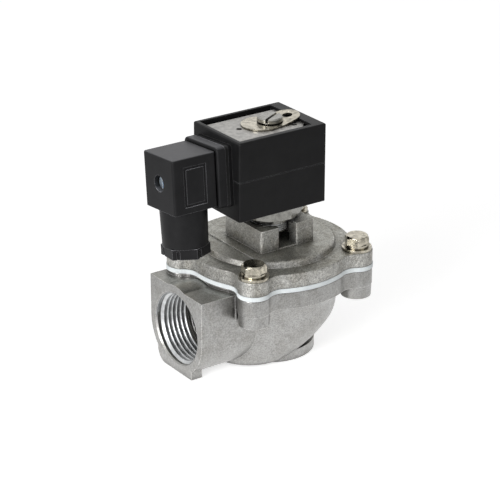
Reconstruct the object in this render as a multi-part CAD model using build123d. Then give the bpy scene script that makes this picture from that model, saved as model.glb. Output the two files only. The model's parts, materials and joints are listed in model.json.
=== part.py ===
from build123d import *
import math
import os

# Dust collector pulse valve, right angle, one inch parallel pipe threads.
# Millimetres. Origin: centre of the outlet mouth. +Z runs up the valve axis,
# the inlet mouth and the cable connector face -X.

# Pipe thread at both mouths: the size that the rest follows
thread_major_r = 16.62
thread_depth = 17.0
mouth_chamfer = 0.7

# Inlet block
port_wall = 4.08
port_outer_r = thread_major_r + port_wall
foot_drop = 0.1
port_z = port_outer_r + foot_drop
port_top_wall = 2.98
port_top_z = port_z + thread_major_r + port_top_wall
foot_len = 5.7
foot_y_low = -12.0
foot_y_high = 15.4
foot_corner_r = 6.0
foot_h = 7.0
bead_r = 0.6
bead_behind_face = 18.3

# Outlet tube standing in the bowl, with its seat on top
tube_wall = 1.98
tube_r = thread_major_r + tube_wall
seat_step = 3.22
seat_bore_r = thread_major_r - seat_step
seat_land = 2.0
seat_land_r = seat_bore_r + seat_land
seat_taper_h = 5.0
collar_wall = 4.28
collar_r = thread_major_r + collar_wall
collar_h = 4.7
passage_step = 2.42
passage_r = thread_major_r - passage_step
passage_past_tube = 2.4
passage_end_x = -tube_r - passage_past_tube
port_inner_x = -seat_bore_r - 2.6

# Bolted flange shared by body, diaphragm and cover
flange_r = 37.5
joint_above_port = 1.6
joint_z = port_top_z + joint_above_port
band_h = 8.0
band_bottom_z = joint_z - band_h
diaphragm_t = 2.0
cover_flange_t = 6.6
flange_edge_r = 0.5
ear_r = 7.2
ear_blend_r = 8.0
boss_below_joint = 13.7
boss_bottom_z = joint_z - boss_below_joint
boss_draft = 0.3
bolts_past_flange = 2.45
bolt_circle_r = flange_r + bolts_past_flange
bolt_angles = [-135.0, -45.0, 38.0, 157.3]
bolt_turns = [16.1, 3.0, 25.0, 40.0]
bolt_hole_r = 3.3
port_past_flange = 13.3
port_face_x = -flange_r - port_past_flange
seat_below_joint = 7.3
seat_z = joint_z - seat_below_joint

# Body bowl: round in plan, upright on the inlet side and swelling on the other
bowl_base_z = 0.8
bowl_base_reach = 5.5
waist_above_port = 0.4
bowl_waist_z = port_z + waist_above_port
waist_inset = 7.3
bowl_waist_r = flange_r - waist_inset
bowl_top_inset = 3.2
bowl_top_r = flange_r - bowl_top_inset
bowl_power = 1.3
bowl_steps = 10
bowl_overrun = 1.2
wall = 3.8
seal_band = 6.1
chamber_r = flange_r - seal_band
chamber_below_waist = 8.2
chamber_floor_z = bowl_waist_z - chamber_below_waist

# Cover fasteners
bolt_r = 3.0
bolt_reach = 15.2
bolt_head_flat = 10.0
bolt_head_h = 3.9
flat_washer_r = 6.8
flat_washer_t = 1.2
lock_washer_r = 5.4
lock_washer_t = 1.5
lock_washer_split = 0.8
tapped_depth = 7.4

# Cover dome, turret and pilot seat
cover_bottom_z = joint_z + diaphragm_t
cover_top_z = cover_bottom_z + cover_flange_t
dome_inset = 7.3
dome_base_r = flange_r - dome_inset
dome_draft = 1.0
dome_shoulder_r = dome_base_r - dome_draft
dome_h = 2.7
dome_top_z = cover_top_z + dome_h
dome_round = 1.6
dome_roof_t = 3.1
dome_ceiling_z = dome_top_z - dome_roof_t
pad_inset = 9.9
pad_half = dome_base_r - pad_inset
pad_step = 0.5
turret_half = 14.7
turret_h = 10.3
turret_top_z = dome_top_z + turret_h
turret_draft = 1.6
turret_corner_r = 1.6
turret_skirt = 0.9
turret_recess_margin = 2.1
turret_recess_r = turret_half - turret_recess_margin
turret_recess_depth = 1.2
slot_w = 9.4
slot_floor = 0.4
slot_edge_r = 0.8
pilot_seat_r = 3.4
pilot_seat_h = 3.7
pilot_seat_z = dome_top_z + pilot_seat_h
pilot_orifice_r = 1.3
exhaust_r = 10.2

# Diaphragm and main valve
centre_drop = 5.4
centre_t = 1.6
plate_beyond_land = 2.0
plate_r = seat_land_r + plate_beyond_land
plate_t = 1.5
seat_disc_t = 2.0
rivet_r = 2.6
rivet_head_r = 4.6
rivet_head_t = 1.4
bleed_r = 0.8
bleed_at = 12.0
main_spring_r = 9.0
main_wire_r = 0.65
main_turns = 4

# Operator
operator_thread_r = 9.0
operator_root_r = 8.5
shank_above_dome = 5.2
operator_thread_bottom_z = dome_top_z + shank_above_dome
operator_collar_r = 9.3
collar_in_turret = 0.8
operator_collar_z = turret_top_z - collar_in_turret
operator_hex_flat = 27.0
hex_above_turret = 2.1
operator_hex_z = turret_top_z + hex_above_turret
operator_hex_h = 7.0
operator_hex_turn = 33.4
operator_bevel_h = 1.2
coil_bottom_z = operator_hex_z + operator_hex_h
core_tube_r = 6.6
core_tube_wall = 1.0
running_gap = 0.06

# Coil
coil_h = 36.5
coil_top_z = coil_bottom_z + coil_h
coil_front_x = -28.7
coil_back_x = 17.9
coil_half_w = 18.1
coil_edge_r = 1.0
seam_below_top = 18.2
seam_z = coil_top_z - seam_below_top
seam_half_w = 0.15
seam_depth = 0.25
coil_bore_r = 6.8
well_front_x = -26.6
well_back_x = 12.0
well_y_low = -15.3
well_y_high = 16.2
well_depth = 6.0
frame_t = 2.0
frame_y_high = 13.2
frame_top_below_rim = 1.3
frame_corner_cut = 6.0
frame_hole_r = 1.3
frame_holes = [(-15.8, 0.9), (7.4, -8.1)]
bobbin_wall = 1.2
winding_r = 14.2
seal_t = 1.5

# Plunger and fixed core
plunger_r = core_tube_r - core_tube_wall - running_gap
plunger_below_coil_top = 20.4
plunger_top_z = coil_top_z - plunger_below_coil_top
plunger_seal_r = 3.2
plunger_seal_t = 2.2
air_gap = 2.2
pocket_r = 3.0
pocket_depth = 8.0
plunger_spring_r = 2.3
plunger_wire_r = 0.3
plunger_turns = 7
stud_r = 5.7
stud_h = 2.1
groove_r = 4.3
stud_slot_w = 1.3
stud_slot_depth = 1.9
stud_slot_turn = 28.0
stud_slot_offset = -1.2

# Spring clip on top of the coil
clip_t = 0.7
clip_wide_r = 8.9
clip_wide_x = -4.8
clip_narrow_r = 6.6
clip_narrow_x = 8.4
clip_bend_x = 3.0
clip_hole_r = 2.3
clip_hole_x = 9.6
clip_seat = 0.05

# Cable connector, built square and then rolled slightly on the coil axis
plug_below_coil_top = 17.14
plug_z = coil_top_z - plug_below_coil_top
plug_roll = -4.43
plug_front_x = -58.3
plug_body_back_x = -36.2
plug_half_w = 11.8
plug_half_h = 12.4
plug_flange_half_w = 13.1
plug_flange_half_h = 14.1
plug_flange_corner_r = 2.5
plug_edge_r = 1.2
plug_wall = 1.8
panel_x0, panel_x1 = -53.0, -41.6
panel_z0, panel_z1 = -9.6, 8.4
panel_line = 1.2
panel_depth = 0.35
screw_recess_r = 3.7
screw_recess_depth = 4.2
screw_head_r = 2.9
screw_head_t = 2.2
screw_slot_half = 0.4
gasket_t = 1.5
socket_proud = 1.8
socket_half_w = 12.9
socket_half_h = 13.9
insert_setback = 12.5
insert_cable_room = 2.5
gland_x = -46.7
neck_r = 10.6
neck_bottom_r = 10.2
neck_end = 29.9
gland_thread_r = 8.2
gland_bore_r = 7.0
gland_bore_depth = 5.4
cable_way_r = 5.6
nut_corner_r = 10.9
nut_h = 4.6
nut_floor = 1.2
nut_mouth_r = 5.0
nut_turn = 25.0
nut_flute_turn = 14.0
nut_flute_r = 0.8
gland_washer_t = 0.8
gland_washer_bore_r = 4.6
grommet_bore_r = 3.6
plug_screw_r = 1.5
blade_w = 6.3
blade_t = 0.8
blade_len = 15.0
blade_set = 4.5
blade_offset = 5.5
ground_blade_z = 8.2
blade_places = [(-blade_offset, 0.0, True), (blade_offset, 0.0, True), (0.0, ground_blade_z, False)]


def ring(outer_r, inner_r, z0, z1, centre=(0.0, 0.0)):
    """Flat washer shape between two heights."""
    height = z1 - z0
    spot = Pos(centre[0], centre[1], z0 + height / 2)
    solid = Cylinder(outer_r, height)
    if inner_r > 0:
        solid -= Cylinder(inner_r, height + 1)
    return spot * solid


def rod(radius, z0, z1, centre=(0.0, 0.0)):
    """Upright round bar between two heights."""
    return ring(radius, 0, z0, z1, centre)


def rod_x(radius, x0, x1, y=0.0, z=0.0):
    """Round bar along X between two stations."""
    return Pos((x0 + x1) / 2, y, z) * Rot(0, 90, 0) * Cylinder(radius, x1 - x0)


def block(x0, x1, y0, y1, z0, z1):
    """Box given by its six limits."""
    middle = Pos((x0 + x1) / 2, (y0 + y1) / 2, (z0 + z1) / 2)
    return middle * Box(x1 - x0, y1 - y0, z1 - z0)


def hexagon(flat, z0, z1, turn=0.0, centre=(0.0, 0.0)):
    """Upright hexagonal bar by its width across flats."""
    outline = Rot(0, 0, turn) * RegularPolygon(flat / 2, 6, major_radius=False)
    return Pos(centre[0], centre[1], z0) * extrude(outline, z1 - z0)


def spin(points):
    """Solid of revolution about the valve axis from (radius, height) points."""
    outline = make_face(Plane.XZ * Polyline(*points, close=True))
    return revolve(outline, Axis.Z)


def coil_spring(mean_r, wire_r, z0, z1, turns):
    """Open helical compression spring that just fits between two faces."""
    rise = z1 - z0 - 2 * wire_r - 0.02
    path = Helix(rise / turns, rise, mean_r)
    start = Plane(origin=path @ 0, z_dir=path % 0)
    return Pos(0, 0, z0 + wire_r + 0.01) * sweep(start * Circle(wire_r), path=path)


def bolt_spots():
    """Centres of the cover bolts."""
    for angle in bolt_angles:
        turn = math.radians(angle)
        yield bolt_circle_r * math.cos(turn), bolt_circle_r * math.sin(turn)


def flange_outline(grow=0.0):
    """Round flange with one blended ear for each bolt."""
    outline = Circle(flange_r + grow)
    for x, y in bolt_spots():
        outline += Pos(x, y) * Circle(ear_r + grow)
    return fillet(outline.vertices(), ear_blend_r)


def at_plug(solid):
    """Moves a connector piece from its square place to its rolled place."""
    return Pos(0, 0, plug_z) * Rot(plug_roll, 0, 0) * solid


def bowl_section(z):
    """Outline circle at one height: upright on the inlet side, swelling on the other, flaring above."""
    if z < bowl_waist_z:
        drop = 1 - z / bowl_waist_z
        swell = (1 - drop ** bowl_power) ** (1 / bowl_power)
        reach = bowl_base_reach + (bowl_waist_r - bowl_base_reach) * swell
        return Wire.make_circle((reach + bowl_waist_r) / 2, Plane(((reach - bowl_waist_r) / 2, 0, z)))
    flare = (z - bowl_waist_z) / (band_bottom_z - bowl_waist_z)
    radius = bowl_waist_r + (bowl_top_r - bowl_waist_r) * flare ** 2
    return Wire.make_circle(radius, Plane((0, 0, z)))


def make_valve_body():
    span = band_bottom_z + bowl_overrun - bowl_base_z
    heights = [bowl_base_z + span * (step / bowl_steps) ** 1.4 for step in range(bowl_steps + 1)]
    body = Part() + Solid.make_loft([bowl_section(z) for z in heights])
    inner_waist_r = bowl_waist_r - wall
    chamber = spin([(0, chamber_floor_z), (tube_r + 0.5, chamber_floor_z),
                    (inner_waist_r - 4, chamber_floor_z + 2), (inner_waist_r - 1.3, bowl_waist_z - 2),
                    (inner_waist_r, bowl_waist_z + 2), (chamber_r - 2, band_bottom_z - 3.5),
                    (chamber_r, band_bottom_z + 0.5), (chamber_r, joint_z + 1), (0, joint_z + 1)])
    band = Pos(0, 0, band_bottom_z) * extrude(flange_outline(), joint_z - band_bottom_z)
    body += fillet(band.edges().group_by(Axis.Z)[-1], flange_edge_r)
    for x, y in bolt_spots():
        height = joint_z - 1 - boss_bottom_z
        boss = Cone(ear_r - boss_draft, ear_r - 0.05, height)
        body += Pos(x, y, boss_bottom_z + height / 2) * boss

    # Inlet block: half round below, square above, with a foot under its face
    port_len = port_inner_x - port_face_x
    body += rod_x(port_outer_r, port_face_x, port_inner_x, 0, port_z)
    body += block(port_face_x, port_inner_x, -port_outer_r, port_outer_r, port_z, port_top_z)
    foot = block(port_face_x, port_face_x + foot_len, foot_y_low, foot_y_high, 0, foot_h)
    outer_corner = foot.edges().filter_by(Axis.X).group_by(Axis.Z)[0].sort_by(Axis.Y)[-1]
    body += fillet(outer_corner, foot_corner_r)
    body += rod(bead_r, boss_bottom_z, port_top_z - 1, (port_face_x + bead_behind_face, -port_outer_r))

    # Chamber under the diaphragm, then the outlet tube standing in it
    body -= chamber
    body -= rod_x(passage_r, port_face_x - 1, passage_end_x, 0, port_z)
    body += rod(collar_r, 0, collar_h)
    body += ring(tube_r, seat_bore_r, 0.5, seat_z - seat_taper_h + 1)
    body += spin([(seat_bore_r - 1, seat_z - seat_taper_h), (tube_r - 0.5, seat_z - seat_taper_h),
                  (seat_land_r, seat_z), (seat_bore_r - 1, seat_z)])

    # Threaded mouths at their major radius, and the main seat bore
    face = port_face_x
    body -= rod_x(thread_major_r, face - 1, face + thread_depth, 0, port_z)
    mouth = Cone(thread_major_r + mouth_chamfer, thread_major_r, mouth_chamfer)
    body -= Pos(face + mouth_chamfer / 2, 0, port_z) * Rot(0, 90, 0) * mouth
    body -= rod(thread_major_r, -1, thread_depth)
    body -= rod(seat_bore_r, thread_depth - 1, seat_z + 1)

    for spot in bolt_spots():
        body -= rod(bolt_r + 0.05, joint_z - tapped_depth, joint_z + 1, spot)
    return body


def make_main_diaphragm():
    top_z = joint_z + diaphragm_t
    sheet = Pos(0, 0, joint_z) * extrude(flange_outline(0.3), diaphragm_t)
    sheet -= rod(chamber_r - 0.4, joint_z - 1, top_z + 1)
    sag_r = plate_r + 1.2
    rim_r = chamber_r - 0.3
    upper = Spline((rim_r, top_z), (sag_r, top_z - centre_drop), tangents=[(-1, 0), (-1, 0)])
    lower = Spline((sag_r, top_z - centre_drop - centre_t), (rim_r, joint_z), tangents=[(1, 0), (1, 0)])
    outline = upper + Line((sag_r, top_z - centre_drop), (rivet_r, top_z - centre_drop))
    outline += Line((rivet_r, top_z - centre_drop), (rivet_r, top_z - centre_drop - centre_t))
    outline += Line((rivet_r, top_z - centre_drop - centre_t), (sag_r, top_z - centre_drop - centre_t))
    outline += lower + Line((rim_r, joint_z), (rim_r, top_z))
    sheet += revolve(make_face(Plane.XZ * outline), Axis.Z)
    for spot in bolt_spots():
        sheet -= rod(bolt_hole_r, joint_z - 1, top_z + 1, spot)
    sheet -= rod(bleed_r, 0, top_z + 1, (0, bleed_at))
    return sheet


diaphragm_centre_top = joint_z + diaphragm_t - centre_drop
diaphragm_centre_bottom = diaphragm_centre_top - centre_t


def make_diaphragm_plate():
    plate = ring(plate_r, rivet_r, diaphragm_centre_top, diaphragm_centre_top + plate_t)
    plate = fillet(plate.edges().group_by(Axis.Z)[-1].sort_by(SortBy.RADIUS)[-1], 0.7)
    return plate - rod(bleed_r + 0.2, 0, 60, (0, bleed_at))


def make_seat_disc():
    disc = ring(plate_r, rivet_r, diaphragm_centre_bottom - seat_disc_t, diaphragm_centre_bottom)
    return disc - rod(bleed_r + 0.2, 0, 60, (0, bleed_at))


def make_clamp_rivet():
    top = diaphragm_centre_top + plate_t
    bottom = diaphragm_centre_bottom - seat_disc_t
    return (rod(rivet_r, bottom, top) + ring(rivet_head_r, 0, top, top + rivet_head_t)
            + ring(rivet_head_r, 0, bottom - rivet_head_t, bottom))


def make_main_spring():
    return coil_spring(main_spring_r, main_wire_r, diaphragm_centre_top + plate_t,
                       dome_ceiling_z, main_turns)


def make_cover():
    cover = Pos(0, 0, cover_bottom_z) * extrude(flange_outline(), cover_flange_t)
    cover = fillet(cover.edges().group_by(Axis.Z)[-1], flange_edge_r)
    dome = spin([(0, cover_bottom_z + 1), (dome_base_r, cover_bottom_z + 1),
                 (dome_base_r, cover_top_z), (dome_shoulder_r, dome_top_z), (0, dome_top_z)])
    dome = fillet(dome.edges().group_by(Axis.Z)[-1], dome_round)
    cover += dome
    for turn in (0, 180):
        lowered = block(pad_half, dome_base_r, -dome_base_r, dome_base_r, dome_top_z - pad_step, turret_top_z)
        cover -= Rot(0, 0, turn) * lowered

    foot = Pos(0, 0, dome_top_z - 0.5) * Rectangle(2 * turret_half, 2 * turret_half)
    turret = extrude(fillet(foot.vertices(), turret_corner_r), turret_h + 0.5, taper=turret_draft)
    skirt_w = 2 * turret_half + turret_skirt
    skirt = Pos(0, 0, dome_top_z - 0.5) * Rectangle(skirt_w, skirt_w)
    skirt = fillet(skirt.vertices(), turret_corner_r + turret_skirt / 2)
    turret += extrude(skirt, turret_skirt + 0.5, taper=45)
    turret -= rod(turret_recess_r, turret_top_z - turret_recess_depth, turret_top_z + 1)
    turret -= block(-slot_w / 2, slot_w / 2, -20, 20, dome_top_z + slot_floor, turret_top_z + 1)
    slot_edges = [edge for edge in turret.edges() if edge.length > turret_h / 2
                  and abs(abs(edge.center().X) - slot_w / 2) < 0.1
                  and abs(edge.center().Y) > turret_half - 1]
    cover += fillet(slot_edges, slot_edge_r)
    cover -= rod(exhaust_r, dome_top_z + slot_floor, operator_thread_bottom_z - 0.4)
    cover -= rod(operator_thread_r + 0.05, dome_top_z + slot_floor, turret_top_z + 1)
    cover -= rod(operator_collar_r + 0.3, operator_collar_z - 0.2, turret_top_z + 1)
    cover += rod(pilot_seat_r, dome_top_z, pilot_seat_z)

    # Pressure space above the diaphragm, roofed by the dome
    roof_r = dome_shoulder_r - wall
    cover -= spin([(0, cover_bottom_z - 1), (chamber_r - 0.4, cover_bottom_z - 1),
                   (chamber_r - 0.4, cover_bottom_z + 1.5), (roof_r, dome_ceiling_z),
                   (0, dome_ceiling_z)])
    cover -= rod(pilot_orifice_r, cover_bottom_z, pilot_seat_z + 1)
    for spot in bolt_spots():
        cover -= rod(bolt_hole_r, cover_bottom_z - 1, cover_top_z + 1, spot)
    return cover


def make_cover_bolts():
    head_z = cover_top_z + flat_washer_t + lock_washer_t
    bolts = []
    for turn, (x, y) in zip(bolt_turns, bolt_spots()):
        head = hexagon(bolt_head_flat, head_z, head_z + bolt_head_h, turn, (x, y))
        crown_r = bolt_head_flat / math.sqrt(3)
        crown = spin([(0, head_z), (crown_r, head_z), (crown_r, head_z + bolt_head_h - 1.1),
                      (bolt_head_flat * 0.46, head_z + bolt_head_h), (0, head_z + bolt_head_h)])
        head &= Pos(x, y) * crown
        bolts.append(head + rod(bolt_r, head_z - bolt_reach - 3, head_z, (x, y)))
    return Compound(children=bolts)


def make_flat_washers():
    washers = [ring(flat_washer_r, bolt_hole_r, cover_top_z, cover_top_z + flat_washer_t, spot)
               for spot in bolt_spots()]
    return Compound(children=washers)


def make_lock_washers():
    base = cover_top_z + flat_washer_t
    washers = []
    for spot in bolt_spots():
        washer = ring(lock_washer_r, bolt_r + 0.15, base, base + lock_washer_t, spot)
        split = Rot(30, 0, 0) * Box(lock_washer_r, lock_washer_split, 3 * lock_washer_t)
        split = Pos(spot[0] - lock_washer_r * 0.8, spot[1], base + lock_washer_t / 2) * split
        washers.append(washer - split)
    return Compound(children=washers)


def make_core_tube():
    hex_part = hexagon(operator_hex_flat, operator_hex_z, coil_bottom_z, operator_hex_turn)
    corner = operator_hex_flat / math.sqrt(3)
    bevel = spin([(0, operator_hex_z), (operator_hex_flat * 0.49, operator_hex_z),
                  (corner, operator_hex_z + operator_bevel_h), (corner, coil_bottom_z), (0, coil_bottom_z)])
    tube = hex_part & bevel
    tube += rod(operator_collar_r, operator_collar_z, operator_hex_z)
    tube += rod(operator_root_r, operator_thread_bottom_z, operator_collar_z)
    tube += rod(core_tube_r, coil_bottom_z, coil_top_z - frame_top_below_rim)
    return tube - rod(core_tube_r - core_tube_wall, operator_thread_bottom_z - 1, coil_top_z + 5)


clip_z = coil_top_z - frame_top_below_rim + clip_seat
clip_rise = math.degrees(math.atan2(coil_top_z + clip_seat - clip_z, well_back_x - clip_bend_x))
stud_z = clip_z + clip_t + (stud_r - clip_bend_x) * math.tan(math.radians(clip_rise)) + 0.06


def make_fixed_core():
    lower_z = plunger_top_z + air_gap
    core = rod(core_tube_r - core_tube_wall, lower_z, coil_top_z - frame_top_below_rim)
    core += rod(groove_r, coil_top_z - frame_top_below_rim, stud_z)
    head = rod(stud_r, stud_z, stud_z + stud_h)
    core += chamfer(head.edges().group_by(Axis.Z)[-1], 0.5)
    slot_z = stud_z + stud_h - stud_slot_depth
    slot = block(-10, 10, stud_slot_offset - stud_slot_w / 2, stud_slot_offset + stud_slot_w / 2,
                 slot_z, slot_z + 5)
    return core - Rot(0, 0, stud_slot_turn) * slot


def make_plunger():
    bottom_z = pilot_seat_z + 0.3
    plunger = rod(plunger_r, bottom_z, plunger_top_z)
    plunger -= rod(pocket_r, plunger_top_z - pocket_depth, plunger_top_z + 1)
    plunger -= rod(plunger_seal_r, bottom_z - 1, pilot_seat_z + plunger_seal_t)
    for angle in (0, 90, 180, 270):
        groove = block(plunger_r - 0.8, plunger_r + 1, -0.7, 0.7, bottom_z + 6, plunger_top_z + 1)
        plunger -= Rot(0, 0, angle) * groove
    return plunger


def make_plunger_seal():
    return rod(plunger_seal_r, pilot_seat_z, pilot_seat_z + plunger_seal_t)


def make_plunger_spring():
    return coil_spring(plunger_spring_r, plunger_wire_r, plunger_top_z - pocket_depth,
                       plunger_top_z + air_gap, plunger_turns)


frame_top_z = coil_top_z - frame_top_below_rim
frame_bottom_z = coil_bottom_z + seal_t
bobbin_low_z = frame_bottom_z + frame_t
bobbin_high_z = frame_top_z - frame_t


def make_magnet_frame():
    half = frame_y_high
    frame = block(well_front_x, well_back_x, well_y_low, half, frame_top_z - frame_t, frame_top_z)
    cut = Pos(well_back_x, well_y_low, frame_top_z) * Rot(0, 0, 45)
    frame -= cut * Box(frame_corner_cut * 1.414, frame_corner_cut * 1.414, 10)
    frame += block(well_front_x, well_back_x, -half, half, frame_bottom_z, frame_bottom_z + frame_t)
    frame += block(well_front_x, well_front_x + frame_t, -half, half, frame_bottom_z, frame_top_z)
    frame -= rod(core_tube_r + 0.1, 0, coil_top_z + 1)
    for spot in frame_holes:
        frame -= rod(frame_hole_r, bobbin_high_z - 1, coil_top_z, spot)
    return frame


def make_bobbin():
    bobbin = ring(coil_bore_r + bobbin_wall, coil_bore_r, bobbin_low_z, bobbin_high_z)
    bobbin += ring(winding_r, coil_bore_r, bobbin_low_z, bobbin_low_z + bobbin_wall)
    bobbin += ring(winding_r, coil_bore_r, bobbin_high_z - bobbin_wall, bobbin_high_z)
    return bobbin


def make_winding():
    return ring(winding_r, coil_bore_r + bobbin_wall, bobbin_low_z + bobbin_wall,
                bobbin_high_z - bobbin_wall)


def make_coil_housing():
    housing = block(coil_front_x, coil_back_x, -coil_half_w, coil_half_w, coil_bottom_z, coil_top_z)
    upright = housing.edges().filter_by(Axis.Z)
    housing = fillet(upright, coil_edge_r)
    housing = fillet(housing.edges().group_by(Axis.Z)[-1], 0.8)
    seam = block(coil_front_x - 1, coil_back_x + 1, -coil_half_w - 1, coil_half_w + 1,
                 seam_z - seam_half_w, seam_z + seam_half_w)
    core = block(coil_front_x + seam_depth, coil_back_x - seam_depth, -coil_half_w + seam_depth,
                 coil_half_w - seam_depth, seam_z - 1, seam_z + 1)
    housing -= seam - fillet(core.edges().filter_by(Axis.Z), coil_edge_r - seam_depth)

    # Moulded base that the connector is screwed to
    socket = block(coil_front_x - socket_proud, coil_front_x + 1, -socket_half_w, socket_half_w,
                   -socket_half_h, socket_half_h)
    housing += at_plug(fillet(socket.edges().filter_by(Axis.X), 1.5))

    # Open well on top around the frame plate
    well = block(well_front_x, well_back_x, well_y_low, well_y_high, frame_top_z - frame_t, 200)
    housing -= well
    housing -= block(well_front_x, well_back_x, frame_y_high, well_y_high,
                     coil_top_z - well_depth, 200)
    housing -= rod(coil_bore_r, 0, 200)
    housing -= rod(winding_r, bobbin_low_z, bobbin_high_z)
    half = frame_y_high
    housing -= block(well_front_x, well_back_x, -half, half, frame_bottom_z, frame_bottom_z + frame_t)
    housing -= block(well_front_x, well_front_x + frame_t, -half, half, frame_bottom_z, frame_top_z)
    housing -= rod(coil_bore_r + seal_t, 0, frame_bottom_z)
    housing -= make_terminal_blades()
    housing -= at_plug(rod_x(plug_screw_r + 0.05, coil_front_x - 5, coil_front_x + 1.8))
    return housing


def make_coil_base_seal():
    return ring(coil_bore_r + seal_t, core_tube_r + 0.05, coil_bottom_z, frame_bottom_z)


def make_retaining_clip():
    egg = make_hull((Pos(clip_wide_x, 0) * Circle(clip_wide_r)
                     + Pos(clip_narrow_x, 0) * Circle(clip_narrow_r)).edges())
    slab = Pos(0, 0, clip_z - 1) * extrude(egg, 8)
    reach = clip_wide_r * 3
    flat = block(-reach, clip_bend_x + 0.5, -reach, reach, clip_z, clip_z + clip_t)
    ramp = block(0, reach, -reach, reach, 0, clip_t)
    ramp = Pos(clip_bend_x, 0, clip_z) * Rot(0, -clip_rise, 0) * ramp
    clip = slab & (flat + ramp)
    clip -= rod(groove_r + 0.1, clip_z - 2, clip_z + 6)
    return clip - rod(clip_hole_r, clip_z - 2, clip_z + 6, (clip_hole_x, 0))


socket_face_x = coil_front_x - socket_proud
gasket_face_x = socket_face_x - gasket_t


def make_terminal_blades():
    blades = []
    for y, z, upright in blade_places:
        wide, tall = (blade_t, blade_w) if upright else (blade_w, blade_t)
        blade = Box(blade_len, wide, tall)
        blade = chamfer(blade.edges().group_by(Axis.X)[0], 0.3)
        blades.append(at_plug(Pos(socket_face_x - blade_set, y, z) * blade))
    return Compound(children=blades)


def make_connector_gasket():
    sheet = block(gasket_face_x, socket_face_x, -socket_half_w, socket_half_w,
                  -socket_half_h, socket_half_h)
    sheet = fillet(sheet.edges().filter_by(Axis.X), 1.5)
    sheet -= block(-60, 0, -8, 8, -4.5, 4.5)
    sheet -= block(-60, 0, -4, 4, 4, 9.8)
    return at_plug(sheet)


def make_plug_housing():
    shell = block(plug_front_x, plug_body_back_x, -plug_half_w, plug_half_w, -plug_half_h, plug_half_h)
    shell = fillet(shell.edges().filter_by(Axis.Z), plug_edge_r)
    shell = fillet(shell.edges().group_by(Axis.Z)[-1], 0.7)
    flange = block(plug_body_back_x, gasket_face_x, -plug_flange_half_w, plug_flange_half_w,
                   -plug_flange_half_h, plug_flange_half_h)
    flange = fillet(flange.edges().filter_by(Axis.X), plug_flange_corner_r)
    shell += fillet(flange.edges().group_by(Axis.X)[0], 0.8)
    neck = Pos(gland_x, 0, -(plug_half_h + neck_end) / 2)
    shell += neck * Cone(neck_bottom_r, neck_r, neck_end - plug_half_h)
    shell += ring(gland_thread_r, 0, -neck_end - nut_h + nut_floor + 0.2, -neck_end, (gland_x, 0))

    # Side recess frame, terminal room, screw passage and cable passage
    for side in (-1, 1):
        panel_y = side * plug_half_w
        low_y, high_y = panel_y - panel_depth, panel_y + panel_depth
        frame = block(panel_x0, panel_x1, low_y, high_y, panel_z0, panel_z1)
        inner = block(panel_x0 + panel_line, panel_x1 - panel_line, low_y - 1, high_y + 1,
                      panel_z0 + panel_line, panel_z1 - panel_line)
        shell -= frame - inner
    room_y = plug_half_w - plug_wall
    room_z = plug_half_h - plug_wall
    shell -= block(plug_front_x + screw_recess_depth + 1.6, 0, -room_y, room_y, -room_z, room_z)
    shell -= rod_x(screw_recess_r, plug_front_x - 1, plug_front_x + screw_recess_depth)
    shell -= rod_x(plug_screw_r + 0.3, plug_front_x - 1, plug_front_x + screw_recess_depth + 4)
    shell -= rod(cable_way_r, -neck_end - nut_h, -plug_half_h + 3, (gland_x, 0))
    shell -= rod(gland_bore_r, -neck_end - nut_h, -neck_end + gland_bore_depth, (gland_x, 0))
    return at_plug(shell)


def make_plug_insert():
    room_y = plug_half_w - plug_wall - 0.1
    room_z = plug_half_h - plug_wall - 0.1
    insert = block(plug_front_x + insert_setback, gasket_face_x, -room_y, room_y, -room_z, room_z)
    insert = fillet(insert.edges().filter_by(Axis.X), 0.8)
    insert -= rod_x(plug_screw_r + 0.3, -70, 0)
    for y, z, upright in blade_places:
        wide, tall = (blade_t, blade_w) if upright else (blade_w, blade_t)
        insert -= Pos(socket_face_x - blade_set, y, z) * Box(blade_len + 1, wide + 0.1, tall + 0.1)
    insert -= block(plug_front_x, plug_front_x + insert_setback + insert_cable_room, -room_y - 1, room_y + 1,
                    -room_z - 1, -room_z / 3 * 2)
    return at_plug(insert)


def make_plug_screw():
    head_x = plug_front_x + screw_recess_depth
    screw = rod_x(plug_screw_r, head_x, coil_front_x + 1.5)
    head = rod_x(screw_head_r, head_x - screw_head_t, head_x)
    head -= block(head_x - screw_head_t - 1, head_x - screw_head_t / 2, -screw_slot_half, screw_slot_half,
                  -screw_head_r - 1, screw_head_r + 1)
    return at_plug(screw + head)


def make_gland_nut():
    low = -neck_end - nut_h
    nut = hexagon(nut_corner_r * math.sqrt(3), low, -neck_end, nut_turn, (gland_x, 0))
    for step in range(6):
        turn = math.radians(nut_turn + 60 * step + nut_flute_turn)
        x = gland_x + nut_corner_r * 0.93 * math.cos(turn)
        y = nut_corner_r * 0.93 * math.sin(turn)
        nut -= rod(nut_flute_r, low - 1, -neck_end - 0.8, (x, y))
    nut -= rod(gland_thread_r + 0.05, low + nut_floor, 0, (gland_x, 0))
    nut -= rod(nut_mouth_r, low - 1, 0, (gland_x, 0))
    return at_plug(nut)


def make_gland_washer():
    low = -neck_end - nut_h + nut_floor
    return at_plug(ring(gland_bore_r - 0.2, gland_washer_bore_r, low, low + gland_washer_t, (gland_x, 0)))


def make_gland_grommet():
    low = -neck_end - nut_h + nut_floor + gland_washer_t
    top = -neck_end + gland_bore_depth - 0.1
    return at_plug(ring(gland_bore_r - 0.2, grommet_bore_r, low, top, (gland_x, 0)))


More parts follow.
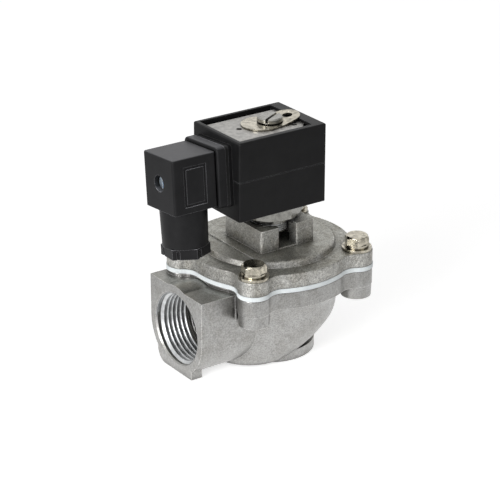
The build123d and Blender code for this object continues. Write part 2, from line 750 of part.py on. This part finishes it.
def main():
    os.makedirs("parts", exist_ok=True)
    nodes = {
        "valve_body": make_valve_body(),
        "main_diaphragm": make_main_diaphragm(),
        "diaphragm_plate": make_diaphragm_plate(),
        "seat_disc": make_seat_disc(),
        "clamp_rivet": make_clamp_rivet(),
        "main_spring": make_main_spring(),
        "cover": make_cover(),
        "cover_bolts": make_cover_bolts(),
        "lock_washers": make_lock_washers(),
        "flat_washers": make_flat_washers(),
        "core_tube": make_core_tube(),
        "fixed_core": make_fixed_core(),
        "plunger": make_plunger(),
        "plunger_seal": make_plunger_seal(),
        "plunger_spring": make_plunger_spring(),
        "coil_base_seal": make_coil_base_seal(),
        "magnet_frame": make_magnet_frame(),
        "bobbin": make_bobbin(),
        "winding": make_winding(),
        "coil_housing": make_coil_housing(),
        "retaining_clip": make_retaining_clip(),
        "terminal_blades": make_terminal_blades(),
        "connector_gasket": make_connector_gasket(),
        "plug_housing": make_plug_housing(),
        "plug_insert": make_plug_insert(),
        "plug_screw": make_plug_screw(),
        "gland_nut": make_gland_nut(),
        "gland_washer": make_gland_washer(),
        "gland_grommet": make_gland_grommet(),
    }
    for name, shape in nodes.items():
        export_step(shape, f"parts/{name}.step")


main()
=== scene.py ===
import json
import math
import bmesh
import bpy
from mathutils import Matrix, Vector


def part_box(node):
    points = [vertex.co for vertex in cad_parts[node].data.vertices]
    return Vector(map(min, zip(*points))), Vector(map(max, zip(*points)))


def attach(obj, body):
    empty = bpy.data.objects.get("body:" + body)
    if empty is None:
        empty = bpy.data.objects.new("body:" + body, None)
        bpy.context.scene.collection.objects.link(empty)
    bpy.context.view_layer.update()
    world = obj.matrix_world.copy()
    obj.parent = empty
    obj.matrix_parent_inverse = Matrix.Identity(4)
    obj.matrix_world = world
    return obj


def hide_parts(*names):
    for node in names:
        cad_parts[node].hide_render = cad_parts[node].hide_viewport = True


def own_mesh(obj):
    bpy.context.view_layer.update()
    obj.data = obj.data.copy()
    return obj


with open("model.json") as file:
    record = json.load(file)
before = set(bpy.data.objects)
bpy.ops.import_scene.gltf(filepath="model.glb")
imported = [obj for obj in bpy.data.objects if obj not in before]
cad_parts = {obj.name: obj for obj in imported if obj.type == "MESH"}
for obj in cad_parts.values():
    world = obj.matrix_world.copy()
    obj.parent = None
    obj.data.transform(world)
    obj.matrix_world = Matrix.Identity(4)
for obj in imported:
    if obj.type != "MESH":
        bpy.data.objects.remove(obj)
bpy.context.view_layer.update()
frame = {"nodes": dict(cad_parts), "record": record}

MM = 0.001

# Where the photographer stood, with a long lens
CAMERA_MM = (-484.57, -679.22, 405.73)
TARGET_MM = (0.0, 15.206, 41.216)
LENS_MM = 144.0
SENSOR_MM = 36.0
CLIP_M = (0.05, 20.0)

# Threads of the two ports and of the operator's shank, in millimetres
PORT = {"wall_r": 16.62, "depth": 1.479, "pitch": 2.309, "length": 15.6}
PORT_START = 1.2
INLET_FACE_X = -50.8
INLET_Z = 20.8
SHANK = {"wall_r": 8.5, "depth": 0.48, "pitch": 1.0, "length": 4.1}
SHANK_LOW_Z = 58.6

# Ridge of a thread. Widths are in pitches, and just under 1 keeps neighbouring turns apart.
# The foot and the hidden back lie this many millimetres inside the wall.
RIDGE_WIDTH = 0.99
RIDGE_STEPS = 8
BACK_WIDTH = 0.6
FOOT_SINK = 0.03
BACK_SINK = 0.4
THREAD_STEPS = 72
RUN_OUT_TURNS = 0.6

# Springs: radius of the wire in millimetres, and number of turns
MAIN_WIRE_R, MAIN_TURNS = 0.65, 4
PLUNGER_WIRE_R, PLUNGER_TURNS = 0.3, 7
SPRING_STEPS = 48
WIRE_SIDES = 12

# Diaphragm, in millimetres: radius where its rim is clamped, radius of its flat middle,
# and how far a point may lie past either and still belong to it
CLAMP_R = 31.0
MIDDLE_R = 18.6
CUT_SLACK = 0.03
WELD_M = 1e-6
SHARP_DEGREES = 30
ROLL_ROWS = 14
ROLL_STEPS = 120

# Floor: how strongly it glows when seen and in reflections near the object, and the
# distances over which reflections of it fade to a dimmer room
FLOOR_COLOUR = (0.9, 0.9, 0.9)
FLOOR_REACH_M = 3.0
FLOOR_DROP_M = 0.0002
FLOOR_GLOW = 0.62
NEAR_GLOW = 0.12
FAR_M = (0.06, 0.3)
FAR_SHARE = 0.85
FAR_GLOW = 0.3

# Room: the light it sheds, and its dim side, low on the right of the photographer
ROOM_LIGHT = 0.38
DARK_SIDE = (0.72, -0.67, 0.18)
DARK_SPREAD = (0.3, 0.95)
DARK_LEVEL = 0.3

# Softboxes: place and size in metres, and power in watts
SOFTBOXES = {
    "key": ((-0.93, -0.35, 0.3), (0.45, 0.45), 6.5),
    "fill": ((0.3, -0.9, 0.35), (0.5, 0.4), 0.6),
}
LIGHT_AIM_M = (0, 0, 0.05)

# Materials: the span that holds nearly all values of a noise, how far a face has to look up for the
# full painted top light and shade, the openness over which the painted crevice shade clears, and
# rays for each lookup
NOISE_SPAN = (0.3, 0.7)
LOOKS_UP = 0.95
CREVICE_SHADE_SPAN = (0.3, 0.9)
LOOKUPS = 4


def grey(level):
    """Colour without hue."""
    return (level, level, level)


WHITE = grey(1.0)


def tint(colour, factor):
    """Lighter or darker colour, held at white."""
    return tuple(min(1.0, c * factor) for c in colour)


def ease(share):
    """Smooth rise from 0 to 1, and back to 0 as share goes on to 2."""
    return 0.5 - 0.5 * math.cos(math.pi * share)


class Tree:
    """Short hand for building one node tree. Patterns and colours are passed on as sockets."""

    def __init__(self, owner):
        owner.use_nodes = True
        self.tree = owner.node_tree
        self.tree.nodes.clear()

    def join(self, node, inputs):
        """Links inputs of a node to sockets, or sets them to plain values."""
        for key, value in inputs.items():
            if isinstance(value, bpy.types.NodeSocket):
                self.tree.links.new(value, node.inputs[key])
            else:
                node.inputs[key].default_value = value

    def node(self, kind, inputs=None, **settings):
        """New node with its settings and inputs."""
        node = self.tree.nodes.new(kind)
        for key, value in settings.items():
            setattr(node, key, value)
        self.join(node, inputs or {})
        return node

    def maths(self, operation, *values):
        """Result of a sum on numbers."""
        return self.node("ShaderNodeMath", dict(enumerate(values)), operation=operation).outputs[0]

    def measure(self, operation, *vectors):
        """Number that a sum on vectors gives."""
        node = self.node("ShaderNodeVectorMath", dict(enumerate(vectors)), operation=operation)
        return node.outputs["Value"]

    def spread(self, value, low, high, to_low, to_high):
        """Maps low to to_low and high to to_high, and holds those beyond."""
        node = self.node("ShaderNodeMapRange", {
            "Value": value, "From Min": low, "From Max": high, "To Min": to_low, "To Max": to_high})
        return node.outputs["Result"]

    def seen(self, strength):
        """This strong for camera, glossy and transmission rays, and zero for the rest."""
        path = self.node("ShaderNodeLightPath").outputs
        direct = path["Is Camera Ray"]
        for kind in ("Is Glossy Ray", "Is Transmission Ray"):
            direct = self.maths("MAXIMUM", direct, path[kind])
        return self.maths("MULTIPLY", direct, strength)


MATERIALS = {}


class Look(Tree):
    """One material with a single surface shader, kept in MATERIALS under its name."""

    def __init__(self, name, constants):
        mat = bpy.data.materials.new(name)
        super().__init__(mat)
        MATERIALS[name] = mat
        self.shader = self.node("ShaderNodeBsdfPrincipled", constants)
        self.node("ShaderNodeOutputMaterial", {"Surface": self.shader.outputs["BSDF"]})
        self.coord = self.node("ShaderNodeTexCoord").outputs

    def noise(self, size_mm, detail, rough, stretch=(1, 1, 1), warp=0.0):
        """Cloudy pattern with blobs of about this size."""
        place = self.node("ShaderNodeMapping", {"Vector": self.coord["Object"], "Scale": stretch})
        node = self.node("ShaderNodeTexNoise", {
            "Vector": place.outputs["Vector"], "Scale": 1 / MM / size_mm,
            "Detail": detail, "Roughness": rough, "Distortion": warp})
        return node.outputs["Fac"]

    def ramp(self, value, *stops):
        """Colour for each value, between stops of (place, colour)."""
        node = self.node("ShaderNodeValToRGB", {"Fac": value})
        points = node.color_ramp.elements
        while len(points) < len(stops):
            points.new(0.5)
        for point, (place, colour) in zip(points, stops):
            point.position = place
            point.color = (*colour, 1)
        return node.outputs["Color"]

    def times(self, colour, factor):
        """Product of two colours. The colour sockets of a mix node go by number."""
        node = self.node("ShaderNodeMix", {0: 1.0, 6: colour, 7: factor},
                         data_type="RGBA", blend_type="MULTIPLY")
        return node.outputs[2]

    def paint_top_light(self, colour, start, factor):
        """Paints top light and shade: multiplies a colour by the factor on faces that look up."""
        facing = self.node("ShaderNodeSeparateXYZ", {"Vector": self.coord["Normal"]}).outputs["Z"]
        return self.times(colour, self.ramp(facing, (start, WHITE), (LOOKS_UP, factor)))

    def paint_crevice_shade(self, colour, reach_mm, floor):
        """Paints shade into a colour, darkening it towards the floor value where another surface
        stands close.
        """
        node = self.node("ShaderNodeAmbientOcclusion", {"Distance": reach_mm * MM}, samples=LOOKUPS)
        deep, clear = CREVICE_SHADE_SPAN
        shade = self.ramp(node.outputs["AO"], (deep, grey(floor)), (clear, WHITE))
        return self.times(colour, shade)

    def soft_normal(self, edge_mm):
        """Normal that turns smoothly over edges."""
        node = self.node("ShaderNodeBevel", {"Radius": edge_mm * MM}, samples=LOOKUPS)
        return node.outputs["Normal"]

    def paint_edge_highlight(self, colour, edge_mm, factor, blunt=0.985, sharp=0.88):
        """Paints highlights along edges: multiplies a colour by the factor there.

        Blunt and sharp say how well the soft and the true normal agree where the effect
        starts and where it is full.
        """
        true_normal = self.node("ShaderNodeNewGeometry").outputs["Normal"]
        match = self.measure("DOT_PRODUCT", self.soft_normal(edge_mm), true_normal)
        highlight_mask = self.spread(match, blunt, sharp, 0.0, 1.0)
        return self.times(colour, self.ramp(highlight_mask, (0.0, WHITE), (1.0, grey(factor))))

    def bumps(self, heights, edge_mm=0.0):
        """Stacks bumps of (pattern, height in mm) over softened edges."""
        below = {"Normal": self.soft_normal(edge_mm)} if edge_mm else {}
        for pattern, height in heights:
            bump = self.node("ShaderNodeBump", {
                "Height": pattern, "Strength": 1.0, "Distance": height * MM, **below})
            below = {"Normal": bump.outputs["Normal"]}
        self.join(self.shader, below)


# Recipes. Grain is the depth of the surface texture in millimetres, and crevice shade, painted
# shade in crevices, is given by its reach in millimetres and the floor value it darkens to.

def cast_metal(name, colour, grain, stain, top, gloss, speck, bare=1.0, crevice_shade=(3.0, 0.35)):
    """Die-cast aluminium, tumbled: fine grain, soft blotches, painted shade on upward faces."""
    look = Look(name, {"Metallic": bare})
    fine = look.noise(0.6, detail=3.0, rough=0.7)
    coarse = look.noise(1.5, detail=2.0, rough=0.75)
    blotch = look.noise(7.0, detail=4.0, rough=0.6, warp=0.6)
    pits = look.noise(1.6, detail=3.0, rough=0.65)
    dark, light = tint(colour, 1 - speck), tint(colour, 1 + speck)
    faint = speck / 4
    shade = look.ramp(fine, (0.34, dark), (0.52, colour), (0.7, light))
    shade = look.times(shade, look.ramp(blotch, (0.3, stain), (0.62, WHITE)))
    dots = look.ramp(coarse, (0.36, grey(1 - faint)), (0.5, WHITE), (0.64, grey(1 + faint)))
    shade = look.times(shade, dots)
    # Painted shade on faces that look up, darker by the top factor.
    shade = look.paint_top_light(shade, start=0.55, factor=(top, top, top * 0.96))
    # Painted highlight along the cast edges.
    shade = look.paint_edge_highlight(shade, edge_mm=0.4, factor=2.5, blunt=0.95, sharp=0.86)
    # Painted shade in crevices and where parts stand close.
    shade = look.paint_crevice_shade(shade, *crevice_shade)
    rough = look.spread(pits, *NOISE_SPAN, *gloss)
    look.join(look.shader, {"Base Color": shade, "Roughness": rough})
    look.bumps([(pits, grain * 2.4), (fine, grain)], edge_mm=0.35)


def machined_metal(name, colour, rough=0.28, edge=0.15, patch=0.8, patch_mm=4.0, crevice_shade=(1.2, 0.2)):
    """Turned or rolled steel with a light plating, faint scratches and duller patches."""
    look = Look(name, {"Metallic": 1.0})
    scratch = look.noise(0.35, detail=3.0, rough=0.6, stretch=(1, 1, 0.1))
    cloud = look.noise(patch_mm, detail=4.0, rough=0.65, warp=0.4)
    shade = look.ramp(cloud, (0.34, tint(colour, patch)), (0.55, colour), (0.68, tint(colour, 1.2)))
    # Painted highlight along the edges.
    shade = look.paint_edge_highlight(shade, edge_mm=max(edge, 0.15), factor=1.6)
    # Painted shade in crevices and where parts stand close.
    shade = look.paint_crevice_shade(shade, *crevice_shade)
    sheen = look.spread(cloud, *NOISE_SPAN, rough * 0.8, rough * 1.3)
    look.join(look.shader, {"Base Color": shade, "Roughness": sheen})
    look.bumps([(scratch, 0.008), (cloud, 0.02)], edge_mm=edge)


def cut_metal(name, colour):
    """Freshly cut thread with faint tool marks; its brightness is partly painted highlight."""
    look = Look(name, {"Metallic": 1.0})
    cloud = look.noise(3.0, detail=3.0, rough=0.6)
    fine = look.noise(0.4, detail=3.0, rough=0.6)
    shade = look.ramp(cloud, (0.3, tint(colour, 0.8)), (0.7, tint(colour, 1.25)))
    sheen = look.spread(cloud, *NOISE_SPAN, 0.3, 0.45)
    look.join(look.shader, {"Base Color": shade, "Roughness": sheen})
    look.bumps([(fine, 0.012)])


def moulded_plastic(name, colour, rough=0.5, grain=0.012, level=0.4, dust_and_top_light=1.0):
    """Moulded thermoplastic with a spark-eroded grain, dust and painted light on top, and painted
    highlights along the edges.
    """
    look = Look(name, {"Specular IOR Level": level})
    fine = look.noise(0.3, detail=2.0, rough=0.6)
    cloud = look.noise(9.0, detail=3.0, rough=0.6)
    shade = look.ramp(cloud, (0.3, tint(colour, 0.82)), (0.7, tint(colour, 1.15)))
    # Dust and painted top light: faces that look up are lightened.
    shade = look.paint_top_light(shade, start=0.6, factor=grey(dust_and_top_light))
    # Strong painted highlight along the moulded edges.
    shade = look.paint_edge_highlight(shade, edge_mm=0.35, factor=10.0, blunt=0.995, sharp=0.93)
    # Painted shade in crevices, down to black.
    shade = look.paint_crevice_shade(shade, reach_mm=0.7, floor=0.0)
    sheen = look.spread(cloud, *NOISE_SPAN, rough * 0.9, rough * 1.1)
    look.join(look.shader, {"Base Color": shade, "Roughness": sheen})
    look.bumps([(fine, grain)], edge_mm=0.25)


def rubber(name, colour, rough=0.65):
    """Pressed rubber, dull and slightly uneven."""
    look = Look(name, {"Specular IOR Level": 0.35})
    fine = look.noise(0.4, detail=3.0, rough=0.6)
    cloud = look.noise(5.0, detail=3.0, rough=0.6)
    shade = look.ramp(cloud, (0.3, tint(colour, 0.9)), (0.7, tint(colour, 1.05)))
    sheen = look.spread(fine, *NOISE_SPAN, rough * 0.9, rough * 1.1)
    look.join(look.shader, {"Base Color": shade, "Roughness": sheen})
    look.bumps([(fine, 0.015)], edge_mm=0.15)


def copper_wire(name, gap_shade, crest):
    """Enamelled wire laid in close turns, with painted shade in the gaps."""
    look = Look(name, {"Metallic": 0.9, "Roughness": 0.3, "Coat Weight": 0.5})
    wave = look.node("ShaderNodeTexWave", {"Vector": look.coord["Object"], "Scale": 900.0},
                     bands_direction="Z").outputs["Fac"]
    look.join(look.shader, {"Base Color": look.ramp(wave, (0.0, gap_shade), (1.0, crest))})
    look.bumps([(wave, 0.08)])


# A top factor below one paints shade on the upward faces of the castings.
cast_metal("cast_body", (0.388, 0.385, 0.376), grain=0.035, stain=(0.8, 0.79, 0.77), top=0.84,
           gloss=(0.3, 0.46), speck=0.26)
# The cover's wide, deep painted crevice shade darkens the turret's slot and other recesses.
cast_metal("cast_cover", (0.505, 0.5, 0.477), grain=0.09, stain=(0.68, 0.66, 0.62), top=0.88,
           gloss=(0.36, 0.58), speck=0.5, bare=0.85, crevice_shade=(5.0, 0.05))
rubber("white_rubber", (0.9, 0.95, 0.98), rough=0.5)
machined_metal("plate_steel", (0.58, 0.58, 0.57))
rubber("seal_rubber", (0.02, 0.02, 0.02))
machined_metal("spring_steel", (0.5, 0.5, 0.49), rough=0.25, edge=0.05)
machined_metal("plated_steel", (0.56, 0.52, 0.43), rough=0.15, patch=0.42, patch_mm=2.2,
               crevice_shade=(1.0, 0.1))
machined_metal("tube_steel", (0.36, 0.355, 0.33), rough=0.26, edge=0.25, patch=0.6, patch_mm=3.0)
machined_metal("frame_steel", (0.48, 0.47, 0.45), rough=0.42, edge=0.1, patch=0.66, patch_mm=3.0,
               crevice_shade=(3.0, 0.15))
moulded_plastic("bobbin_plastic", (0.7, 0.68, 0.6))
copper_wire("winding_copper", gap_shade=(0.12, 0.035, 0.012), crest=(0.5, 0.19, 0.07))
moulded_plastic("coil_black", (0.0105, 0.0105, 0.011), rough=0.38, grain=0.01, level=0.15, dust_and_top_light=1.3)
machined_metal("blade_brass", (0.75, 0.6, 0.3), rough=0.3)
rubber("gasket_black", (0.012, 0.012, 0.012), rough=0.32)
# The plug's eightfold top factor is painted top light with a little dust.
moulded_plastic("plug_black", (0.016, 0.016, 0.017), rough=0.4, grain=0.014, level=0.13, dust_and_top_light=8.0)
machined_metal("zinc_steel", (0.72, 0.84, 0.96), rough=0.4, crevice_shade=(0.5, 0.6))
cut_metal("cut_metal", (0.55, 0.56, 0.565))

for part in frame["record"]["subparts"]:
    node = frame["nodes"][part["node"]]
    node.data.materials.clear()
    node.data.materials.append(MATERIALS[part["material_slot"]])


def smooth(mesh):
    """Shades every face smooth."""
    mesh.polygons.foreach_set("use_smooth", [True] * len(mesh.polygons))


def new_mesh(name, verts, faces):
    """Smooth mesh from points in metres and faces."""
    mesh = bpy.data.meshes.new(name)
    mesh.from_pydata(verts, [], faces)
    smooth(mesh)
    mesh.update()
    return mesh


def placed(name, mesh, body, slot_name, look=None):
    """Object for a finished mesh, riding on a body. It wears its slot's own look unless told."""
    mesh.materials.clear()
    mesh.materials.append(MATERIALS[look or slot_name])
    obj = bpy.data.objects.new(name, mesh)
    bpy.context.scene.collection.objects.link(obj)
    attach(obj, body)
    return obj


def skin(count, size, loop=False):
    """Faces over a row of rings of points. The row closes on itself or is capped at both ends."""
    faces = []
    for i in range(count if loop else count - 1):
        a, b = i * size, (i + 1) % count * size
        faces += [(a + k, b + k, b + (k + 1) % size, a + (k + 1) % size) for k in range(size)]
    if not loop:
        faces.append(tuple(range(size)))
        faces.append(tuple(reversed(range((count - 1) * size, count * size))))
    return faces


def thread(name, slot_name, place, wall_r, depth, pitch, length, inward=True):
    """Helical ridge rooted in a round wall; place turns (x, y, z) in mm into the shared frame."""
    sign = -1.0 if inward else 1.0
    profile = [(RIDGE_WIDTH * (i / RIDGE_STEPS - 0.5), ease(2 * i / RIDGE_STEPS))
               for i in range(RIDGE_STEPS + 1)]
    back_r = wall_r - sign * BACK_SINK
    turns = length / pitch
    count = int(turns * THREAD_STEPS)
    verts = []
    for i in range(count + 1):
        turn = i / THREAD_STEPS
        angle = 2 * math.pi * turn
        height = depth * max(0.0, min(1.0, turn / RUN_OUT_TURNS, (turns - turn) / RUN_OUT_TURNS))
        ring = [(wall_r + sign * (height * lift - FOOT_SINK), along) for along, lift in profile]
        ring += [(back_r, BACK_WIDTH / 2), (back_r, -BACK_WIDTH / 2)]
        for r, along in ring:
            point = place(r * math.cos(angle), r * math.sin(angle), turn * pitch + along * pitch)
            verts.append(Vector(point) * MM)
    faces = skin(count + 1, len(ring))
    if inward:
        faces = [(face[0], *reversed(face[1:])) for face in faces]
    placed(name, new_mesh(name, verts, faces), "valve", slot_name, "cut_metal")


# Every thread wears the bright cut-metal look, partly fresh cut metal and partly painted highlight;
# on the shank it is painted light where the thread stands in shade.
thread("inlet_thread", "cast_body",
       lambda x, y, z: (INLET_FACE_X + PORT_START + z, x, INLET_Z + y), **PORT)
thread("outlet_thread", "cast_body",
       lambda x, y, z: (x, y, PORT_START + z), **PORT)
thread("shank_thread", "tube_steel",
       lambda x, y, z: (x, y, SHANK_LOW_Z + z), inward=False, **SHANK)


# The springs as wire, and the diaphragm as rim, middle and roll, the middle riding on the main
# valve


def coil_spring(node, wire_r, turns):
    """Helical spring the size of its node, riding on the valve."""
    low, high = (Vector(v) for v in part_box(node))
    mean_r = high.x - wire_r
    rise = high.z - low.z - 2 * wire_r
    count = turns * SPRING_STEPS
    verts = []
    for i in range(count + 1):
        angle = 2 * math.pi * i / SPRING_STEPS
        for k in range(WIRE_SIDES):
            turn = 2 * math.pi * k / WIRE_SIDES
            r = mean_r + wire_r * math.cos(turn)
            z = low.z + wire_r + rise * i / count + wire_r * math.sin(turn)
            verts.append((r * math.cos(angle), r * math.sin(angle), z))
    name = node + "_wire"
    mesh = new_mesh(name, verts, skin(count + 1, WIRE_SIDES))
    spring = placed(name, mesh, "valve", "spring_steel")
    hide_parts(node)
    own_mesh(spring)


def lathe(points, steps):
    """Closed profile of (r, z) turned round the z axis."""
    angles = [2 * math.pi * i / steps for i in range(steps)]
    verts = [(r * math.cos(angle), r * math.sin(angle), z) for angle in angles for r, z in points]
    return verts, skin(steps, len(points), loop=True)


def slope(r_out, z_out, r_in, z_in):
    """Points of one face of the rubber from its clamped rim down to its flat middle."""
    shares = [i / ROLL_ROWS for i in range(ROLL_ROWS + 1)]
    return [(r_out + (r_in - r_out) * share, z_out + (z_in - z_out) * ease(share))
            for share in shares]


def cut_piece(name, node, drop, body, slot_name):
    """Closed copy of a node's mesh without the points that drop(radius) picks."""
    grid = bmesh.new()
    grid.from_mesh(frame["nodes"][node].data)
    bmesh.ops.remove_doubles(grid, verts=grid.verts, dist=WELD_M)
    dropped = [v for v in grid.verts if drop(math.hypot(v.co.x, v.co.y))]
    bmesh.ops.delete(grid, geom=dropped, context="VERTS")
    bmesh.ops.bridge_loops(grid, edges=[e for e in grid.edges if e.is_boundary])
    bmesh.ops.recalc_face_normals(grid, faces=grid.faces)
    mesh = bpy.data.meshes.new(name)
    grid.to_mesh(mesh)
    grid.free()
    smooth(mesh)
    mesh.set_sharp_from_angle(angle=math.radians(SHARP_DEGREES))
    piece = placed(name, mesh, body, slot_name)
    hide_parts(node)


def diaphragm():
    """Clamped rim that stays, middle that rises with the plate, and the roll between them."""
    node, slot_name = "main_diaphragm", "white_rubber"
    rim_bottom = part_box("valve_body")[1][2]
    rim_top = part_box(node)[1][2]
    middle_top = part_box("diaphragm_plate")[0][2]
    middle_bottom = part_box("seat_disc")[1][2]
    rim_r, middle_r, slack = CLAMP_R * MM, MIDDLE_R * MM, CUT_SLACK * MM
    cut_piece("diaphragm_rim", node, lambda r: r < rim_r - slack, "valve", slot_name)
    cut_piece("diaphragm_middle", node, lambda r: r > middle_r + slack, "main_valve", slot_name)
    upper = slope(rim_r, rim_top, middle_r, middle_top)
    lower = slope(rim_r, rim_bottom, middle_r, middle_bottom)
    mesh = new_mesh("diaphragm_roll", *lathe(upper + lower[::-1], ROLL_STEPS))
    roll = placed("diaphragm_roll", mesh, "valve", slot_name)
    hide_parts(node)
    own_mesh(roll)


coil_spring("main_spring", MAIN_WIRE_R * MM, MAIN_TURNS)
coil_spring("plunger_spring", PLUNGER_WIRE_R * MM, PLUNGER_TURNS)
diaphragm()


def floor_look(name):
    """Pale floor that the camera sees as white, and that dims with distance in reflections."""
    mat = bpy.data.materials.new(name)
    tree = Tree(mat)
    mirrored = tree.node("ShaderNodeLightPath").outputs["Is Glossy Ray"]
    soft = tree.node("ShaderNodeBsdfDiffuse", {"Color": (*FLOOR_COLOUR, 1)})
    strength = tree.maths("MULTIPLY_ADD", mirrored, NEAR_GLOW, tree.seen(FLOOR_GLOW))
    glow = tree.node("ShaderNodeEmission", {"Strength": strength})
    near = tree.node("ShaderNodeAddShader", {0: soft.outputs[0], 1: glow.outputs[0]})
    place = tree.node("ShaderNodeTexCoord").outputs["Object"]
    away = tree.spread(tree.measure("LENGTH", place), *FAR_M, 0.0, FAR_SHARE)
    share = tree.maths("MULTIPLY", away, mirrored)
    far = tree.node("ShaderNodeEmission", {"Strength": FAR_GLOW})
    mix = tree.node("ShaderNodeMixShader", {0: share, 1: near.outputs[0], 2: far.outputs[0]})
    tree.node("ShaderNodeOutputMaterial", {"Surface": mix.outputs[0]})
    return mat


corners = [(x * FLOOR_REACH_M, y * FLOOR_REACH_M, 0)
           for x, y in ((-1, -1), (1, -1), (1, 1), (-1, 1))]
floor_mesh = bpy.data.meshes.new("floor")
floor_mesh.from_pydata(corners, [], [(0, 1, 2, 3)])
floor_mesh.materials.append(floor_look("floor_white"))
floor = bpy.data.objects.new("floor", floor_mesh)
floor.location.z = -FLOOR_DROP_M
bpy.context.scene.collection.objects.link(floor)


def aimed(name, data, place, direction):
    """Light or camera that stands at a place and looks along a direction."""
    obj = bpy.data.objects.new(name, data)
    obj.location = place
    obj.rotation_mode = "QUATERNION"
    obj.rotation_quaternion = direction.to_track_quat("-Z", "Y")
    bpy.context.scene.collection.objects.link(obj)
    return obj


for name, (place, size, watts) in SOFTBOXES.items():
    light = bpy.data.lights.new(name, "AREA")
    light.shape = "RECTANGLE"
    light.size, light.size_y = size
    light.energy = watts
    aimed(name, light, place, Vector(LIGHT_AIM_M) - Vector(place))

# The room is white to the camera, dim on one side in reflections, and sheds an even light
world = bpy.data.worlds.new("studio")
bpy.context.scene.world = world
room = Tree(world)
direction = room.node("ShaderNodeTexCoord").outputs["Generated"]
dim = room.spread(room.measure("DOT_PRODUCT", direction, DARK_SIDE), *DARK_SPREAD, 1.0, DARK_LEVEL)
camera_ray = room.node("ShaderNodeLightPath").outputs["Is Camera Ray"]
level = room.node("ShaderNodeMix", {0: camera_ray, 2: dim, 3: 1.0}).outputs[0]
shown = room.node("ShaderNodeBackground", {"Color": (*WHITE, 1), "Strength": level})
lit = room.node("ShaderNodeBackground", {"Color": (*WHITE, 1), "Strength": ROOM_LIGHT})
mix = room.node("ShaderNodeMixShader", {0: room.seen(1.0), 1: lit.outputs[0], 2: shown.outputs[0]})
room.node("ShaderNodeOutputWorld", {"Surface": mix.outputs[0]})

camera_data = bpy.data.cameras.new("camera")
camera_data.lens = LENS_MM
camera_data.sensor_width = SENSOR_MM
camera_data.clip_start, camera_data.clip_end = CLIP_M
sight = Vector(TARGET_MM) - Vector(CAMERA_MM)
camera = aimed("camera", camera_data, Vector(CAMERA_MM) * MM, sight)
bpy.context.scene.camera = camera
bpy.context.scene.view_settings.view_transform = "Standard"
